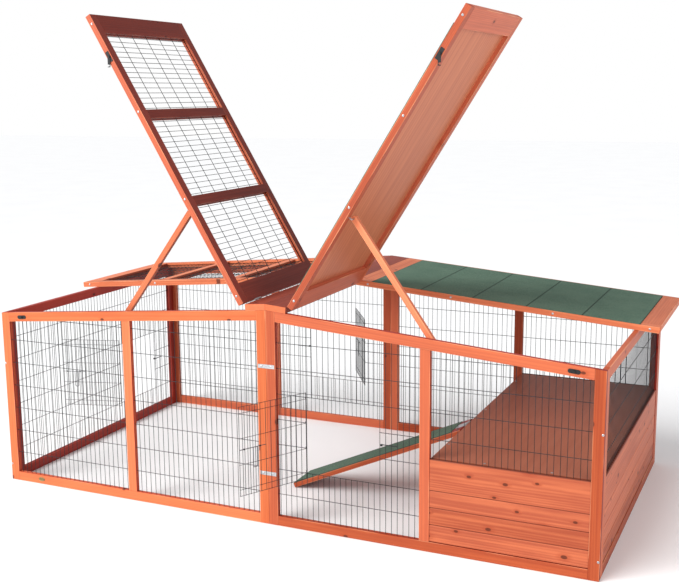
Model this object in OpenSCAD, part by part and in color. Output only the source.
// Outdoor rabbit hutch: a folding timber and wire pen with a boarded shelter, a ramp,
// a half roof and two lids that are lifted on the ridge and held up by prop sticks.
// X runs along the pen, Y from the front to the back and Z up from the ground.

/* [Pen] */
// Length over the two end frames
pen_l = 2330; // [2000:10:2800]
// Depth over the front and back frames
pen_d = 1196; // [1000:2:1500]
// Height of the frames at the two ends
end_h = 681; // [640:1:740]
// Height of the frames at the ridge
ridge_h = 779; // [750:1:900]

/* [Frame timber] */
// Thickness of every frame
timber_t = 18; // [16:1:26]
// Width of a stile
stile_w = 36; // [30:1:50]
// Height of a rail
rail_h = 36; // [30:1:50]
// Distance of the mid stiles from the centre joint
mid_x = 583.5; // [560:0.5:620]
// Gap left by a glue line inside one glued frame
glue = 0.1; // [0.05:0.05:0.3]

/* [Wire mesh] */
// Thickness of a mesh wire
wire_t = 2; // [1.6:0.1:3]
// Distance between the close wires
mesh_pitch = 21; // [18:0.5:30]
// Distance between the wide wires
row_pitch = 91.5; // [80:0.5:110]
// Height of the lowest row above the ground
row_first = 117; // [80:1:130]
// Width of the groove that takes the mesh
groove_w = 3.2; // [2.8:0.1:5]
// Depth of that groove
groove_d = 8; // [6:0.5:12]
// How far the mesh reaches into the groove
mesh_bite = 6; // [4:0.5:9]

/* [Wire doors] */
// Close wires that a door spans
door_cells = 13; // [10:1:15]
// Rows that a door opening spans
door_rows = 3; // [2:1:4]
// How far a door laps its opening above and below
door_lap = 17; // [10:1:19]
// Distance of the front door's hinge from the centre joint
front_door_x = 149; // [100:1:200]
// Distance of the back door's hinge from the centre joint
back_door_x = 132; // [100:1:200]
// Distance of the end door's hinge behind the middle of the pen
end_door_y = 139; // [0:1:180]
// Angle that the front door stands open
front_door_open = 118; // [0:1:165]
// Angle that the end door stands open
end_door_open = 106; // [0:1:165]
// Angle that the back door stands open
back_door_open = 58; // [0:1:165]
// Diameter of a door's hinge wire
pivot_d = 2.4; // [2:0.1:3]
// Radial play of a turning wire or pin in its ring
play = 0.05; // [0.02:0.01:0.1]
// Wall of a hinge ring
ring_wall = 1.4; // [1:0.1:2]
// Diameter of the sliding latch wire
latch_d = 3; // [2.5:0.1:4]
// Travel of the sliding latch
latch_travel = 18; // [12:1:20]
// Height of the latch above the bottom of its opening
latch_z = 142; // [120:1:160]

/* [Shelter] */
// Height of the shelf's top face
shelf_z = 325; // [290:1:360]
// Thickness of the shelf
shelf_t = 9; // [6:1:15]
// Height of the top cladding board
top_board_h = 109; // [80:1:120]
// Number of cladding boards under the top one
low_boards = 3; // [2:1:5]
// Thickness of a cladding board
board_t = 12; // [9:1:13]
// How far a cladding board lies behind its frame's face
board_set = 2; // [1:0.5:3]
// Depth of the tongue between two boards
tongue = 4; // [3:0.5:6]
// Width of a shelf bearer
bearer_w = 22; // [18:1:30]
// Height of a shelf bearer
bearer_h = 27; // [20:1:40]

/* [Ramp] */
// Length of the ramp board
ramp_l = 744; // [700:1:840]
// Width of the ramp board
ramp_w = 150; // [100:1:250]
// Thickness of the ramp board
ramp_t = 18; // [12:1:22]
// Distance of the ramp's middle in front of the middle of the pen
ramp_y = 168; // [0:1:300]
// Width of the ramp's hinge
ramp_hinge_w = 50; // [40:1:90]
// Diameter of the ramp's hinge pin
ramp_pin_d = 4; // [3:0.5:6]

/* [Roof] */
// Width of a ridge board
ridge_w = 78; // [60:1:100]
// How far the roof runs past the end frames
roof_over = 74; // [55:1:120]
// Thickness of the roof frames
roof_t = 22; // [18:1:28]
// Depth of a lid from front to back
lid_d = 600; // [450:1:700]
// Gap between a lid and the back roof
roof_gap = 3; // [2:0.5:6]
// Width of a roof stile
roof_stile_w = 36; // [30:1:50]
// Width of a roof end board
end_board_w = 74; // [50:1:90]
// Thickness of the plywood panels
ply_t = 5; // [4:0.5:8]
// Width of the rebate that takes a panel
rebate_w = 6; // [4:0.5:12]
// Thickness of the roofing felt
felt_t = 2; // [1.5:0.1:3]
// Number of felt strips on one panel
felt_strips = 5; // [3:1:7]
// Timber left bare behind the back roof's felt
felt_strip_w = 16; // [8:1:30]

/* [Lids] */
// Angle from shut at which the left lid is propped
left_lift = 64.1; // [40:0.1:70]
// Angle from shut at which the right lid is propped
right_lift = 62.4; // [40:0.1:70]
// Gap under a shut lid
lid_rest = 0.5; // [0.3:0.1:1]
// Gap between a lid and the ridge board
hinge_gap = 3; // [2.8:0.1:5]
// Length of a lid hinge
hinge_w = 42; // [30:1:80]
// Thickness of a hinge leaf
leaf_t = 1.2; // [1:0.1:1.3]
// Diameter of a hinge knuckle
knuckle_d = 6; // [5.5:0.1:6.2]
// Diameter of a hinge pin
pin_d = 3; // [2.5:0.1:4]
// Distance of a hinge from the front or back edge of its lid
hinge_in = 100; // [60:1:180]

/* [Props and hooks] */
// Distance of the prop's pivot from the lid's hinge
prop_s = 385; // [340:1:420]
// Length of the left prop from its pivot to its foot
left_prop_l = 508; // [500:1:525]
// Length of the right prop from its pivot to its foot
right_prop_l = 494; // [480:1:510]
// Width of a prop across its fold
prop_w = 20; // [16:1:24]
// Thickness of a prop
prop_t = 18; // [14:1:22]
// Angle between a prop and its lid
prop_fold = 112.5; // [105:0.5:120]
// Diameter of the prop's pivot
prop_pin_d = 5; // [4:0.5:6]
// Distance of the hook from the lid's free end
hook_in = 167.5; // [130:0.5:300]
// Distance of the catch stud under the roof
keeper_drop = 19; // [15:1:24]
// Diameter of the catch stud
stud_d = 5; // [4:0.5:6]
// Thickness of a hook
hook_t = 2; // [1.5:0.1:2.5]
// Thickness of the plate behind a hook
hook_plate_t = 1.5; // [1:0.1:2]
// Gap on either side of a hook
hook_play = 0.3; // [0.3:0.05:0.6]

/* [Fixings] */
// Diameter of a screw's shank
screw_d = 4; // [3:0.5:5]
// Diameter of a screw's head
head_d = 8; // [6:0.5:10]
// Length of a screw
screw_l = 45; // [30:1:55]
// Length of a joining plate
plate_l = 64; // [50:1:66]
// Height of a joining plate
plate_h = 14; // [10:1:20]

/* [Hidden] */
$fn = 32;

timber_c = [0.86, 0.43, 0.25];
shade_c = [0.62, 0.30, 0.18];
shelf_c = [0.60, 0.36, 0.27];
ply_c = [0.72, 0.42, 0.28];
felt_c = [0.34, 0.48, 0.39];
wire_c = [0.16, 0.17, 0.18];
latch_c = [0.55, 0.56, 0.58];
steel_c = [0.75, 0.76, 0.78];
black_c = [0.08, 0.08, 0.09];

half_l = pen_l / 2;
roof_l = half_l + roof_over;
front_y = -pen_d / 2;
inner_y = front_y + timber_t;
fall = (ridge_h - end_h) / half_l;
slope = atan(fall);
mid_in = mid_x - stile_w / 2;
mid_out = mid_x + stile_w / 2;
post_x = half_l - stile_w;
end_x = half_l - timber_t;
end_stile_y = inner_y + stile_w;

door_l = door_cells * mesh_pitch;
opening_h = door_rows * row_pitch;
high_open_z = row_first + row_pitch;
low_open_z = row_first;
ring_r = pivot_d / 2 + play + ring_wall;
ring_h = 4;
door_off = wire_t / 2 + ring_r;
guide_r = latch_d / 2 + play + ring_wall;
latch_w = wire_t / 2 + guide_r - 0.2;
catch_r = latch_d / 2 + 1;
catch_u = door_l + 6;
catch_l = 6;

cladding_h = shelf_z - rail_h;
low_board_h = (cladding_h - top_board_h) / low_boards;
shelf_end = end_x;
bearer_top = shelf_z - shelf_t;

ramp_knuckle_r = ramp_pin_d / 2 + 2;
ramp_plate_t = 1.5;
ramp_px = mid_out - ramp_plate_t - ramp_knuckle_r;
ramp_pz = shelf_z - ramp_knuckle_r;
ramp_top = -ramp_plate_t / 2;
ramp_drop = ramp_t - ramp_top;
ramp_a = asin((ramp_pz - 0.3) / norm([ramp_l, ramp_drop])) - atan(ramp_drop / ramp_l);
ramp_start = 6;
ramp_leaf_l = 42;

lift_off = knuckle_d / 2 + 0.2;
axis_s = ridge_w + hinge_gap / 2;
axis_t = roof_t + lift_off;
lid_t = roof_t - lid_rest;
lid_top = -lift_off;
lid_under = lid_top - lid_t;
lid_s0 = hinge_gap / 2;
lid_s1 = roof_l - axis_s;
hook_s = lid_s1 - hook_in;
lid_y1 = front_y + lid_d;
back_y0 = lid_y1 + roof_gap;
back_y1 = pen_d / 2;

prop_t0 = lid_under - prop_w / 2 - 2;
prop_y0 = front_y + roof_stile_w + 3;
pivot_y = front_y + roof_stile_w * 0.6;
keeper_out = hook_plate_t + 2 * hook_play + hook_t + 0.9;
hook_reach = roof_t - lid_t / 2 + keeper_drop;

function top_z(a) = ridge_h - fall * a;
function bay(a0, a1, z0, e) = [
    [a0 - e, z0 - e],
    [a1 + e, z0 - e],
    [a1 + e, top_z(a1 + e) - rail_h + e],
    [a0 - e, top_z(a0 - e) - rail_h + e]
];
function lid_angle(lift) = lift - slope;
function turn(p, a) = [p[0] * cos(a) - p[1] * sin(a), p[0] * sin(a) + p[1] * cos(a)];
function lid_axis() = [0, ridge_h] + turn([axis_s, axis_t], -slope);
function prop_pivot(lift) = lid_axis() + turn([prop_s, prop_t0], lid_angle(lift));
function prop_l(left) = left ? left_prop_l : right_prop_l;
function prop_foot(left, lift) = prop_pivot(lift) + turn([prop_l(left), 0], lid_angle(lift) - prop_fold);

// ---- placing ----

// pieces are drawn about the middle of the pen: this moves them so that Y = 0 is the
// front frame's middle plane, and the pen stands on the point under its centre joint
module placed(c) {
    color(c) translate([0, -front_y - timber_t / 2, 0]) children();
}

// a flat outline drawn with X away from the centre joint and Y up, stood up in a side frame
module side_frame(left, back, t = timber_t) {
    mirror([left ? 1 : 0, 0, 0])
        mirror([0, back ? 1 : 0, 0])
            translate([0, front_y + timber_t / 2 + t / 2, 0])
                rotate([90, 0, 0])
                    linear_extrude(t) children();
}

// a flat outline drawn with X along the pen's depth and Y up, stood up in an end frame
module end_frame(left, t = timber_t) {
    mirror([left ? 1 : 0, 0, 0])
        translate([half_l - timber_t / 2 - t / 2, 0, 0])
            rotate([90, 0, 90])
                linear_extrude(t) children();
}

// roof axes: X down the slope from the ridge, Z square to it from the frames' tops
module on_slope(left) {
    mirror([left ? 1 : 0, 0, 0])
        translate([0, 0, ridge_h])
            rotate([0, slope, 0]) children();
}

// lid axes: X along the lid from its hinge pin, Z out of its top face
module on_lid(left, lift) {
    on_slope(left)
        translate([axis_s, 0, axis_t])
            rotate([0, -lift, 0]) children();
}

// door axes: X along the door from its hinge wire, -Y outwards
module at_front_door(open = front_door_open) {
    translate([front_door_x, front_y + timber_t / 2 - door_off, 0])
        rotate([0, 0, -open]) children();
}

module at_back_door(open = back_door_open) {
    translate([-back_door_x, -front_y - timber_t / 2 + door_off, 0])
        rotate([0, 0, 180 - open]) children();
}

module at_end_door(open = end_door_open) {
    translate([-half_l + timber_t / 2 - door_off, end_door_y, 0])
        rotate([0, 0, 90 + open])
            mirror([0, 1, 0]) children();
}

// ---- side and end frames ----

module stile_outline(a0, a1) {
    polygon([[a0, 0], [a1, 0], [a1, top_z(a1)], [a0, top_z(a0)]]);
}

module mid_stile_outline() {
    polygon([
        [mid_in, rail_h], [mid_out, rail_h],
        [mid_out, top_z(mid_out) - rail_h], [mid_in, top_z(mid_in) - rail_h]
    ]);
}

module side_grooves(left, back, shelter) {
    side_frame(left, back, groove_w) {
        polygon(bay(stile_w, mid_in, rail_h, groove_d));
        difference() {
            polygon(bay(mid_out, post_x, rail_h, groove_d));
            if (shelter)
                translate([mid_in, 0]) square([half_l, shelf_z]);
        }
    }
}

module side_stiles(left, back, shelter) {
    difference() {
        side_frame(left, back) {
            stile_outline(0, stile_w);
            mid_stile_outline();
            stile_outline(post_x, half_l);
        }
        side_grooves(left, back, shelter);
        corner_screws(play);
        plate_screws(play);
    }
}

module side_rails(left, back, shelter) {
    difference() {
        side_frame(left, back) {
            translate([stile_w, 0]) square([post_x - stile_w, rail_h]);
            polygon([
                [stile_w, top_z(stile_w) - rail_h], [post_x, top_z(post_x) - rail_h],
                [post_x, top_z(post_x)], [stile_w, top_z(stile_w)]
            ]);
        }
        side_grooves(left, back, shelter);
        keeper_studs(left, play);
    }
}

module end_bay(z0, e) {
    translate([end_stile_y - e, z0 - e])
        square([-2 * end_stile_y + 2 * e, end_h - rail_h - z0 + 2 * e]);
}

module end_grooves(left, shelter) {
    end_frame(left, groove_w)
        difference() {
            end_bay(rail_h, groove_d);
            if (shelter)
                translate([front_y, 0]) square([pen_d, shelf_z]);
        }
}

module end_stiles(left, shelter) {
    difference() {
        end_frame(left)
            for (side = [0, 1])
                mirror([side, 0]) translate([inner_y, 0]) square([stile_w, end_h]);
        end_grooves(left, shelter);
        corner_screws(play);
    }
}

module end_rails(left, shelter) {
    difference() {
        end_frame(left)
            for (z = [0, end_h - rail_h])
                translate([end_stile_y, z]) square([-2 * end_stile_y, rail_h]);
        end_grooves(left, shelter);
    }
}

module front_left_rails() {
    placed(timber_c) side_rails(true, false, false);
}

module front_left_stiles() {
    placed(timber_c) side_stiles(true, false, false);
}

module front_right_rails() {
    placed(timber_c) side_rails(false, false, true);
}

module front_right_stiles() {
    placed(timber_c) side_stiles(false, false, true);
}

module back_left_rails() {
    placed(timber_c) side_rails(true, true, false);
}

module back_left_stiles() {
    placed(timber_c) side_stiles(true, true, false);
}

module back_right_rails() {
    placed(timber_c) side_rails(false, true, true);
}

module back_right_stiles() {
    placed(timber_c) side_stiles(false, true, true);
}

module left_end_rails() {
    placed(timber_c) end_rails(true, false);
}

module left_end_stiles() {
    placed(timber_c) end_stiles(true, false);
}

module right_end_rails() {
    placed(timber_c) end_rails(false, true);
}

module right_end_stiles() {
    placed(timber_c) end_stiles(false, true);
}

// ---- wire mesh ----

// close wires at start + n * pitch and rows at each height, between two corners
module wires(lo, hi, start, rows) {
    for (x = [start - floor((start - lo[0]) / mesh_pitch) * mesh_pitch : mesh_pitch : hi[0]])
        translate([x - wire_t / 2, lo[1]]) square([wire_t, hi[1] - lo[1]]);
    for (z = rows)
        translate([lo[0], z - wire_t / 2]) square([hi[0] - lo[0], wire_t]);
}

function mesh_rows() = [for (n = [0 : 9]) row_first + n * row_pitch];

// one sheet of mesh in a bay, open between two corners if it has a door
module bay_mesh(outline, start, door = undef) {
    lo = [min([for (p = outline) p[0]]), min([for (p = outline) p[1]])];
    hi = [max([for (p = outline) p[0]]), max([for (p = outline) p[1]])];
    difference() {
        intersection() {
            polygon(outline);
            wires(lo, hi, start, [for (z = mesh_rows()) if (z > lo[1] && z < hi[1]) z]);
        }
        if (door != undef)
            translate(door + [wire_t / 2, wire_t / 2])
                square([door_l - wire_t, opening_h - wire_t]);
    }
}

module side_mesh(left, back, start, door, shelter) {
    side_frame(left, back, wire_t) {
        bay_mesh(bay(stile_w, mid_in, rail_h, mesh_bite), start, door);
        bay_mesh(bay(mid_out, post_x, shelter ? shelf_z : rail_h, mesh_bite), start);
    }
}

module end_mesh(left, start, door, z0) {
    e = mesh_bite;
    end_frame(left, wire_t)
        bay_mesh(
            [
                [end_stile_y - e, z0 - e], [-end_stile_y + e, z0 - e],
                [-end_stile_y + e, end_h - rail_h + e], [end_stile_y - e, end_h - rail_h + e]
            ],
            start, door
        );
}

module front_left_mesh() {
    placed(wire_c) side_mesh(true, false, front_door_x, undef, false);
}

module front_right_mesh() {
    placed(wire_c) side_mesh(false, false, front_door_x, [front_door_x, high_open_z], true);
}

module back_left_mesh() {
    placed(wire_c) side_mesh(true, true, back_door_x, [back_door_x, high_open_z], false);
}

module back_right_mesh() {
    placed(wire_c) side_mesh(false, true, back_door_x, undef, true);
}

module left_end_mesh() {
    placed(wire_c) end_mesh(true, end_door_y, [end_door_y, low_open_z], rail_h);
}

module right_end_mesh() {
    placed(wire_c) end_mesh(false, end_door_y, undef, shelf_z);
}

// ---- wire doors ----

function door_row_heights(z0) = concat(
    [z0 - door_lap, z0 + 5],
    [for (n = [1 : door_rows - 1]) z0 + n * row_pitch],
    [z0 + opening_h - 5, z0 + opening_h + door_lap]
);

module wire_door(z0) {
    rows = door_row_heights(z0);
    low = z0 - door_lap - wire_t / 2;
    tall = opening_h + 2 * door_lap + wire_t;
    difference() {
        union() {
            translate([0, wire_t / 2, 0])
                rotate([90, 0, 0])
                    linear_extrude(wire_t) {
                        for (n = [1 : door_cells])
                            translate([n * mesh_pitch - wire_t / 2, low]) square([wire_t, tall]);
                        for (z = rows)
                            translate([0, z - wire_t / 2])
                                square([door_l + wire_t / 2, wire_t]);
                    }
            translate([0, 0, low]) cylinder(d = pivot_d, h = tall);
            for (n = [door_cells - 4, door_cells - 1])
                translate([n * mesh_pitch - ring_h / 2, -latch_w, z0 + latch_z])
                    rotate([0, 90, 0]) cylinder(r = guide_r, h = ring_h);
        }
        translate([0, -latch_w, z0 + latch_z])
            rotate([0, 90, 0]) cylinder(d = latch_d + 2 * play, h = door_l + ring_h);
    }
}

// sliding latch: a bolt with a finger loop hanging from it
module wire_latch(z0) {
    loop_u = (door_cells - 4) * mesh_pitch + ring_h + 7;
    loop_w = 16;
    loop_h = 70;
    translate([0, -latch_w, z0 + latch_z]) {
        translate([loop_u - 35, 0, 0])
            rotate([0, 90, 0]) cylinder(d = latch_d, h = door_l - 5 - loop_u + 35);
        for (u = [0, loop_w])
            translate([loop_u + u, 0, -loop_h]) {
                cylinder(d = latch_d, h = loop_h);
                sphere(d = latch_d);
            }
        translate([loop_u, 0, -loop_h])
            rotate([0, 90, 0]) cylinder(d = latch_d, h = loop_w);
    }
}

module front_door() {
    placed(wire_c) at_front_door() wire_door(high_open_z);
}

module back_door() {
    placed(wire_c) at_back_door() wire_door(high_open_z);
}

module end_door() {
    placed(wire_c) at_end_door() wire_door(low_open_z);
}

module front_door_latch() {
    placed(latch_c) at_front_door() wire_latch(high_open_z);
}

module back_door_latch() {
    placed(latch_c) at_back_door() wire_latch(high_open_z);
}

module end_door_latch() {
    placed(latch_c) at_end_door() wire_latch(low_open_z);
}

// rings welded on the mesh that a door's hinge wire turns in, one over each inner row
module hinge_rings(z0) {
    for (n = [1 : door_rows + 1])
        translate([0, 0, door_row_heights(z0)[n] + wire_t / 2 + 2])
            difference() {
                union() {
                    cylinder(r = ring_r, h = ring_h);
                    translate([-wire_t / 2, 0, 0]) cube([wire_t, ring_r, ring_h]);
                }
                translate([0, 0, -1]) cylinder(d = pivot_d + 2 * play, h = ring_h + 2);
            }
}

// loop welded across two mesh wires that the latch slides into
module latch_catch(z0) {
    translate([catch_u, ring_r, z0 + latch_z])
        difference() {
            union() {
                translate([0, -1.5, -1.5])
                    cube([3 * mesh_pitch - catch_u % mesh_pitch, 1.5, 3]);
                translate([0, -ring_r - latch_w, 0])
                    rotate([0, 90, 0]) cylinder(r = catch_r + 1.5, h = catch_l);
                translate([0, -ring_r - latch_w, -1.5])
                    cube([catch_l, ring_r + latch_w, 3]);
            }
            translate([-1, -ring_r - latch_w, 0])
                rotate([0, 90, 0]) cylinder(r = catch_r, h = catch_l + 2);
        }
}

module door_loops() {
    placed(wire_c) {
        at_front_door(0) hinge_rings(high_open_z);
        at_front_door(0) latch_catch(high_open_z);
        at_back_door(0) hinge_rings(high_open_z);
        at_back_door(0) latch_catch(high_open_z);
        at_end_door(0) hinge_rings(low_open_z);
        at_end_door(0) latch_catch(low_open_z);
    }
}

// ---- shelter ----

// end view of the cladding: boards with a tongue on the top edge and a bevel at each joint
module cladding_profile() {
    bevel = 2.5;
    mid = board_t / 2;
    for (n = [0 : low_boards]) {
        z0 = rail_h + n * low_board_h;
        last = n == low_boards;
        z1 = last ? shelf_z : z0 + low_board_h;
        difference() {
            union() {
                polygon([
                    [0, z0 + bevel], [bevel, z0 + glue], [board_t, z0 + glue],
                    [board_t, z1], [bevel, z1], [0, z1 - bevel]
                ]);
                if (!last)
                    translate([mid - groove_w / 2 + glue, z1 - 1])
                        square([groove_w - 2 * glue, tongue + 1]);
            }
            if (n > 0)
                translate([mid - groove_w / 2, z0 - 1]) square([groove_w, tongue + 2]);
            if (last)
                translate([timber_t / 2 - board_set - groove_w / 2, z1 - groove_d])
                    square([groove_w, groove_d + 1]);
        }
    }
}

module side_boards(back) {
    mirror([0, back ? 1 : 0, 0])
        translate([mid_out, front_y + board_set, 0])
            rotate([90, 0, 90])
                linear_extrude(post_x - mid_out) cladding_profile();
}

module front_boards() {
    placed(timber_c) side_boards(false);
}

module back_boards() {
    placed(timber_c) side_boards(true);
}

module right_end_boards() {
    placed(timber_c)
        translate([half_l - board_set, -end_stile_y, 0])
            rotate([90, 0, 0])
                linear_extrude(-2 * end_stile_y)
                    mirror([1, 0]) cladding_profile();
}

module shelf() {
    placed(shelf_c)
        translate([mid_out, inner_y, bearer_top])
            cube([shelf_end - mid_out, -2 * inner_y, shelf_t]);
}

module shelf_bearers() {
    board_in = front_y + board_set + board_t;
    end_in = half_l - board_set - board_t;
    placed(shade_c) {
        for (side = [0, 1])
            mirror([0, side, 0])
                translate([mid_out, board_in, bearer_top - bearer_h])
                    cube([post_x - mid_out, bearer_w, bearer_h]);
        translate([mid_out, board_in + bearer_w + glue, bearer_top - rail_h])
            cube([timber_t, -2 * (board_in + bearer_w + glue), rail_h]);
        translate([end_in - bearer_w, end_stile_y, bearer_top - bearer_h])
            cube([bearer_w, -2 * end_stile_y, bearer_h]);
    }
}

// ---- ramp ----

// ramp axes: X down the ramp from its hinge pin, Z out of its top face
module on_ramp() {
    translate([ramp_px, -ramp_y, ramp_pz])
        rotate([0, -ramp_a, 0])
            mirror([1, 0, 0]) children();
}

module ramp_board() {
    placed(timber_c)
        on_ramp()
            translate([ramp_start, -ramp_w / 2, ramp_top - ramp_t])
                cube([ramp_l - ramp_start, ramp_w, ramp_t]);
}

module ramp_felt() {
    placed(felt_c)
        on_ramp()
            translate([ramp_leaf_l + 4, -ramp_w / 2 + 1, ramp_top])
                cube([ramp_l - ramp_leaf_l - 6, ramp_w - 2, felt_t]);
}

module ramp_bracket() {
    knuckle = ramp_hinge_w / 4;
    placed(steel_c)
        translate([ramp_px, -ramp_y, ramp_pz]) {
            translate([ramp_knuckle_r, -ramp_hinge_w / 2, -40 + ramp_knuckle_r])
                cube([ramp_plate_t, ramp_hinge_w, 40 - ramp_knuckle_r - ramp_knuckle_r - 0.3]);
            for (side = [0, 1])
                mirror([0, side, 0]) {
                    translate([0, -ramp_hinge_w / 2, 0])
                        rotate([-90, 0, 0]) cylinder(r = ramp_knuckle_r, h = knuckle);
                    translate([0, -ramp_hinge_w / 2, -ramp_knuckle_r - 1])
                        cube([ramp_knuckle_r + ramp_plate_t, knuckle, ramp_knuckle_r + 1]);
                }
            translate([0, -ramp_hinge_w / 2, 0])
                rotate([-90, 0, 0]) cylinder(d = ramp_pin_d, h = ramp_hinge_w);
        }
}

module ramp_leaf() {
    knuckle = ramp_hinge_w / 2 - 0.8;
    placed(steel_c)
        on_ramp()
            difference() {
                union() {
                    translate([0, -knuckle / 2, 0])
                        rotate([-90, 0, 0]) cylinder(r = ramp_knuckle_r, h = knuckle);
                    translate([0, -knuckle / 2, ramp_top])
                        cube([ramp_start + 4, knuckle, ramp_plate_t]);
                    translate([ramp_start + 3, -ramp_hinge_w / 2, ramp_top])
                        cube([ramp_leaf_l - ramp_start - 3, ramp_hinge_w, ramp_plate_t]);
                }
                translate([0, -ramp_hinge_w / 2, 0])
                    rotate([-90, 0, 0])
                        cylinder(d = ramp_pin_d + 2 * play, h = ramp_hinge_w);
            }
}

// ---- roof ----

module ridge_board(left) {
    on_slope(left)
        translate([0, -front_y, 0])
            rotate([90, 0, 0])
                linear_extrude(pen_d)
                    polygon([
                        [glue, 0], [ridge_w, 0], [ridge_w, roof_t], [glue - roof_t * tan(slope), roof_t]
                    ]);
}

module ridge_boards() {
    placed(timber_c) {
        ridge_board(true);
        ridge_board(false);
    }
}

// a flat frame from s0 to s1 and y0 to y1: two long stiles with boards between them
module roof_frame(s0, s1, y0, y1, z0, t, bars, panel) {
    w = roof_stile_w;
    across = y1 - y0 - 2 * w - 2 * glue;
    bay_l = roof_bay(s0, s1, bars);
    difference() {
        translate([0, 0, z0])
            linear_extrude(t) {
                for (y = [y0, y1 - w]) translate([s0, y]) square([s1 - s0, w]);
                for (s = [s0, s1 - end_board_w])
                    translate([s, y0 + w + glue]) square([end_board_w, across]);
                for (n = [1 : 1 : bars])
                    translate([s0 + end_board_w + n * bay_l + (n - 1) * w, y0 + w + glue])
                        square([w, across]);
            }
        if (panel)
            translate([s0 + end_board_w - rebate_w, y0 + w - rebate_w, z0 + t - ply_t])
                cube([
                    s1 - s0 - 2 * (end_board_w - rebate_w), y1 - y0 - 2 * (w - rebate_w), ply_t + 1
                ]);
        else
            translate([0, 0, z0 + t / 2 - groove_w / 2])
                linear_extrude(groove_w) roof_bays(s0, s1, y0, y1, bars, groove_d);
    }
}

function roof_bay(s0, s1, bars) =
    (s1 - s0 - 2 * end_board_w - bars * roof_stile_w) / (bars + 1);

module roof_bays(s0, s1, y0, y1, bars, e) {
    w = roof_stile_w;
    bay_l = roof_bay(s0, s1, bars);
    for (n = [0 : bars])
        translate([s0 + end_board_w + n * (bay_l + w) - e, y0 + w - e])
            square([bay_l + 2 * e, y1 - y0 - 2 * w + 2 * e]);
}

module roof_mesh(s0, s1, y0, y1, z0, t, bars) {
    w = roof_stile_w;
    bay_l = roof_bay(s0, s1, bars);
    inner = y1 - y0 - 2 * w;
    rows = round(inner / row_pitch);
    e = mesh_bite;
    translate([0, 0, z0 + t / 2 - wire_t / 2])
        linear_extrude(wire_t)
            for (n = [0 : bars]) {
                a = s0 + end_board_w + n * (bay_l + w);
                wires(
                    [a - e, y0 + w - e], [a + bay_l + e, y1 - w + e], a + bay_l / 2,
                    [for (r = [1 : rows - 1]) y0 + w + r * inner / rows]
                );
            }
}

module roof_panel(s0, s1, y0, y1, z0, t) {
    fit = rebate_w - 0.2;
    translate([s0 + end_board_w - fit, y0 + roof_stile_w - fit, z0 + t - ply_t])
        cube([
            s1 - s0 - 2 * (end_board_w - fit), y1 - y0 - 2 * (roof_stile_w - fit), ply_t
        ]);
}

module roof_felt(s0, s1, y0, y1, z0) {
    a = s0 + end_board_w - rebate_w;
    strip = (s1 - s0 - 2 * (end_board_w - rebate_w)) / felt_strips;
    for (n = [0 : felt_strips - 1])
        translate([a + n * strip + 0.2, y0, z0])
            cube([strip - 0.4, y1 - y0, felt_t]);
}

module back_left_roof_frame() {
    placed(timber_c)
        on_slope(true) roof_frame(ridge_w, roof_l, back_y0, back_y1, 0, roof_t, 2, false);
}

module back_left_roof_mesh() {
    placed(wire_c)
        on_slope(true) roof_mesh(ridge_w, roof_l, back_y0, back_y1, 0, roof_t, 2);
}

module back_right_roof_frame() {
    placed(timber_c)
        on_slope(false) roof_frame(ridge_w, roof_l, back_y0, back_y1, 0, roof_t, 0, true);
}

module back_right_roof_panel() {
    placed(ply_c)
        on_slope(false) roof_panel(ridge_w, roof_l, back_y0, back_y1, 0, roof_t);
}

module back_right_roof_felt() {
    placed(felt_c)
        on_slope(false) roof_felt(ridge_w, roof_l, back_y0, back_y1 - felt_strip_w, roof_t);
}

// ---- lids ----

module lid_frame(left, lift, bars, panel) {
    difference() {
        on_lid(left, lift)
            roof_frame(lid_s0, lid_s1, front_y, lid_y1, lid_under, lid_t, bars, panel);
        on_lid(left, lift) {
            translate([prop_s, pivot_y, lid_under - 1])
                cylinder(d = prop_pin_d + 2 * play, h = 13);
            translate([hook_s, front_y - 1, lid_top - lid_t / 2])
                rotate([-90, 0, 0]) cylinder(d = screw_d + 2 * play, h = 13);
        }
    }
}

module left_lid_frame() {
    placed(timber_c) lid_frame(true, left_lift, 2, false);
}

module left_lid_mesh() {
    placed(wire_c)
        on_lid(true, left_lift)
            roof_mesh(lid_s0, lid_s1, front_y, lid_y1, lid_under, lid_t, 2);
}

module right_lid_frame() {
    placed(timber_c) lid_frame(false, right_lift, 0, true);
}

module right_lid_panel() {
    placed(ply_c)
        on_lid(false, right_lift)
            roof_panel(lid_s0, lid_s1, front_y, lid_y1, lid_under, lid_t);
}

module right_lid_felt() {
    placed(felt_c)
        on_lid(false, right_lift) roof_felt(lid_s0, lid_s1, front_y, lid_y1, lid_top);
}

module at_hinges() {
    for (y = [front_y + hinge_in, lid_y1 - hinge_in]) translate([0, y, 0]) children();
}

// knuckles and pin on the hinge axis, and a leaf down the edge of the ridge board
module fixed_leaf() {
    knuckle = hinge_w / 3;
    translate([-hinge_gap / 2, -hinge_w / 2, -axis_t + 4])
        cube([leaf_t, hinge_w, roof_t - 4.5]);
    for (y = [-hinge_w / 2, hinge_w / 2 - knuckle]) {
        translate([-hinge_gap / 2, y, -lift_off - 1]) cube([leaf_t, knuckle, lift_off + 1]);
        translate([0, y, 0]) rotate([-90, 0, 0]) cylinder(d = knuckle_d, h = knuckle);
    }
    translate([0, -hinge_w / 2, 0]) rotate([-90, 0, 0]) cylinder(d = pin_d, h = hinge_w);
}

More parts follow.
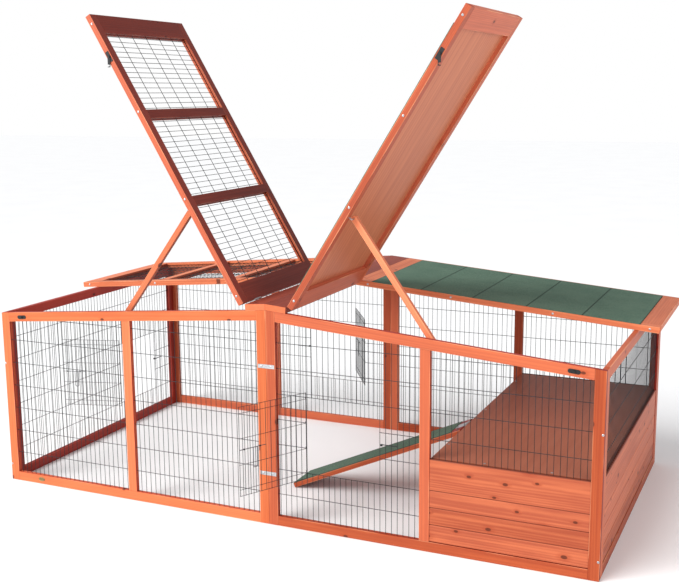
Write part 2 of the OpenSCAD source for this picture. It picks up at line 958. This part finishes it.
module moving_leaf() {
    knuckle = hinge_w / 3 - 0.6;
    difference() {
        union() {
            translate([lid_s0 - leaf_t, -hinge_w / 2, lid_under + 4])
                cube([leaf_t, hinge_w, lid_t - 5.3]);
            translate([lid_s0 - leaf_t, -knuckle / 2, lid_top - 2])
                cube([leaf_t, knuckle, lift_off + 2]);
            translate([0, -knuckle / 2, 0])
                rotate([-90, 0, 0]) cylinder(d = knuckle_d, h = knuckle);
        }
        translate([0, -hinge_w / 2, 0])
            rotate([-90, 0, 0]) cylinder(d = pin_d + 2 * play, h = hinge_w);
    }
}

module hinge_fixed_leaves() {
    placed(steel_c)
        for (left = [true, false])
            on_slope(left) translate([axis_s, 0, axis_t]) at_hinges() fixed_leaf();
}

module left_lid_hinge_leaves() {
    placed(steel_c) on_lid(true, left_lift) at_hinges() moving_leaf();
}

module right_lid_hinge_leaves() {
    placed(steel_c) on_lid(false, right_lift) at_hinges() moving_leaf();
}

// ---- props ----

module prop(left, lift) {
    half_w = prop_w / 2;
    cut = half_w / tan(prop_fold - lid_angle(lift));
    on_lid(left, lift)
        translate([prop_s, prop_y0 + prop_t, prop_t0])
            rotate([0, prop_fold, 0])
                rotate([90, 0, 0])
                    linear_extrude(prop_t)
                        difference() {
                            union() {
                                circle(d = prop_w);
                                polygon([
                                    [0, -half_w], [prop_l(left) - cut, -half_w],
                                    [prop_l(left) + cut, half_w], [0, half_w]
                                ]);
                            }
                            circle(d = prop_pin_d + 2 * play);
                        }
}

module left_prop() {
    placed(timber_c) prop(true, left_lift);
}

module right_prop() {
    placed(timber_c) prop(false, right_lift);
}

// a square-bend screw in the lid's stile that the prop turns on, with a cap that keeps it
module prop_hook(left, lift) {
    on_lid(left, lift)
        translate([prop_s, pivot_y, prop_t0]) {
            sphere(d = prop_pin_d);
            cylinder(d = prop_pin_d, h = lid_under - prop_t0 + 11);
            rotate([-90, 0, 0])
                cylinder(d = prop_pin_d, h = prop_y0 + prop_t - pivot_y + 3);
            translate([0, prop_y0 + prop_t - pivot_y + 0.5, 0])
                rotate([-90, 0, 0]) cylinder(d = 2 * prop_pin_d, h = 2.5);
        }
}

module left_prop_pivot() {
    placed(steel_c) prop_hook(true, left_lift);
}

module right_prop_pivot() {
    placed(steel_c) prop_hook(false, right_lift);
}

// blocks behind the top rails that the props' feet stand on
module prop_rests() {
    block_h = 10;
    placed(shade_c)
        for (left = [true, false])
            mirror([left ? 1 : 0, 0, 0]) {
                foot = prop_foot(left, left ? left_lift : right_lift);
                translate([foot[0] - 22, inner_y, foot[1] - lid_rest - block_h])
                    cube([38, prop_y0 + prop_t - inner_y, block_h]);
            }
}

// ---- hooks ----

module at_hook(left, lift) {
    on_lid(left, lift) translate([hook_s, front_y - hook_plate_t, lid_top - lid_t / 2]) children();
}

// a plate on the lid's edge with the rivet that the hook swings on
module hook_plate(left, lift) {
    at_hook(left, lift) {
        translate([-20, 0, -7]) cube([40, hook_plate_t, 14]);
        translate([0, -2 * hook_play - hook_t, 0]) {
            rotate([-90, 0, 0]) cylinder(d = screw_d, h = 14);
            rotate([90, 0, 0]) cylinder(d = head_d, h = 1.2);
        }
    }
}

// a swivel hook: it hangs from its rivet, and its notch turns round the catch stud
module lid_hook(left, lift) {
    notch_r = stud_d / 2 + 0.8;
    at_hook(left, lift)
        rotate([0, lid_angle(lift), 0])
            translate([0, -hook_play, 0])
                rotate([90, 0, 0])
                    linear_extrude(hook_t)
                        difference() {
                            union() {
                                circle(d = 12);
                                translate([-5, -hook_reach - 6]) square([10, hook_reach + 6]);
                            }
                            circle(d = screw_d + 2 * play);
                            translate([0, -hook_reach]) circle(r = notch_r);
                            translate([0, -hook_reach - notch_r]) square([6, 2 * notch_r]);
                        }
}

module left_hook_plate() {
    placed(black_c) hook_plate(true, left_lift);
}

module right_hook_plate() {
    placed(black_c) hook_plate(false, right_lift);
}

module left_lid_hook() {
    placed(black_c) lid_hook(true, left_lift);
}

module right_lid_hook() {
    placed(black_c) lid_hook(false, right_lift);
}

module keeper_studs(left, extra) {
    on_slope(left)
        translate([axis_s + hook_s, front_y - keeper_out, -keeper_drop])
            rotate([-90, 0, 0]) cylinder(d = stud_d + 2 * extra, h = keeper_out + 12);
}

module hook_keepers() {
    placed(black_c)
        for (left = [true, false]) {
            keeper_studs(left, 0);
            on_slope(left)
                translate([axis_s + hook_s, front_y, -keeper_drop]) {
                    rotate([90, 0, 0])
                        linear_extrude(hook_plate_t) {
                            for (u = [-13, 13]) translate([u, 0]) circle(d = 14);
                            translate([-13, -7]) square([26, 14]);
                        }
                    translate([0, -keeper_out, 0])
                        rotate([90, 0, 0]) cylinder(d = stud_d + 3, h = 1.5);
                }
        }
}

// ---- fixings ----

module plate_heights() {
    for (z = [190, end_h - 101])
        for (back = [0, 1])
            mirror([0, back, 0]) translate([0, front_y, z]) children();
}

module joining_plates() {
    placed(steel_c)
        plate_heights()
            difference() {
                translate([-plate_l / 2, -1.5, -plate_h / 2]) cube([plate_l, 1.5, plate_h]);
                for (side = [-1, 1])
                    translate([side * stile_w / 2, 1, 0])
                        rotate([90, 0, 0]) cylinder(d = screw_d + 2 * play, h = 4);
            }
}

module screw(l, extra) {
    rotate([-90, 0, 0]) cylinder(d = screw_d + 2 * extra, h = l);
    if (extra == 0)
        translate([0, -2, 0]) rotate([-90, 0, 0]) cylinder(d = head_d, h = 2);
}

module corner_screws(extra) {
    for (left = [0, 1], back = [0, 1])
        mirror([left, 0, 0]) mirror([0, back, 0])
            for (z = [65, end_h - 202])
                translate([half_l - timber_t / 4, front_y, z]) screw(screw_l, extra);
}

module plate_screws(extra) {
    plate_heights()
        for (side = [-1, 1])
            translate([side * stile_w / 2, -1.5, 0]) screw(timber_t - 2, extra);
}

module frame_screws() {
    placed(steel_c) {
        corner_screws(0);
        plate_screws(0);
    }
}

front_left_rails();
front_left_stiles();
front_right_rails();
front_right_stiles();
back_left_rails();
back_left_stiles();
back_right_rails();
back_right_stiles();
left_end_rails();
left_end_stiles();
right_end_rails();
right_end_stiles();
front_left_mesh();
front_right_mesh();
back_left_mesh();
back_right_mesh();
left_end_mesh();
right_end_mesh();
front_door();
end_door();
back_door();
front_door_latch();
end_door_latch();
back_door_latch();
door_loops();
front_boards();
right_end_boards();
back_boards();
shelf();
shelf_bearers();
ramp_board();
ramp_felt();
ramp_bracket();
ramp_leaf();
ridge_boards();
back_left_roof_frame();
back_left_roof_mesh();
back_right_roof_frame();
back_right_roof_panel();
back_right_roof_felt();
left_lid_frame();
left_lid_mesh();
right_lid_frame();
right_lid_panel();
right_lid_felt();
hinge_fixed_leaves();
left_lid_hinge_leaves();
right_lid_hinge_leaves();
left_prop();
right_prop();
left_prop_pivot();
right_prop_pivot();
prop_rests();
left_hook_plate();
right_hook_plate();
left_lid_hook();
right_lid_hook();
hook_keepers();
joining_plates();
frame_screws();
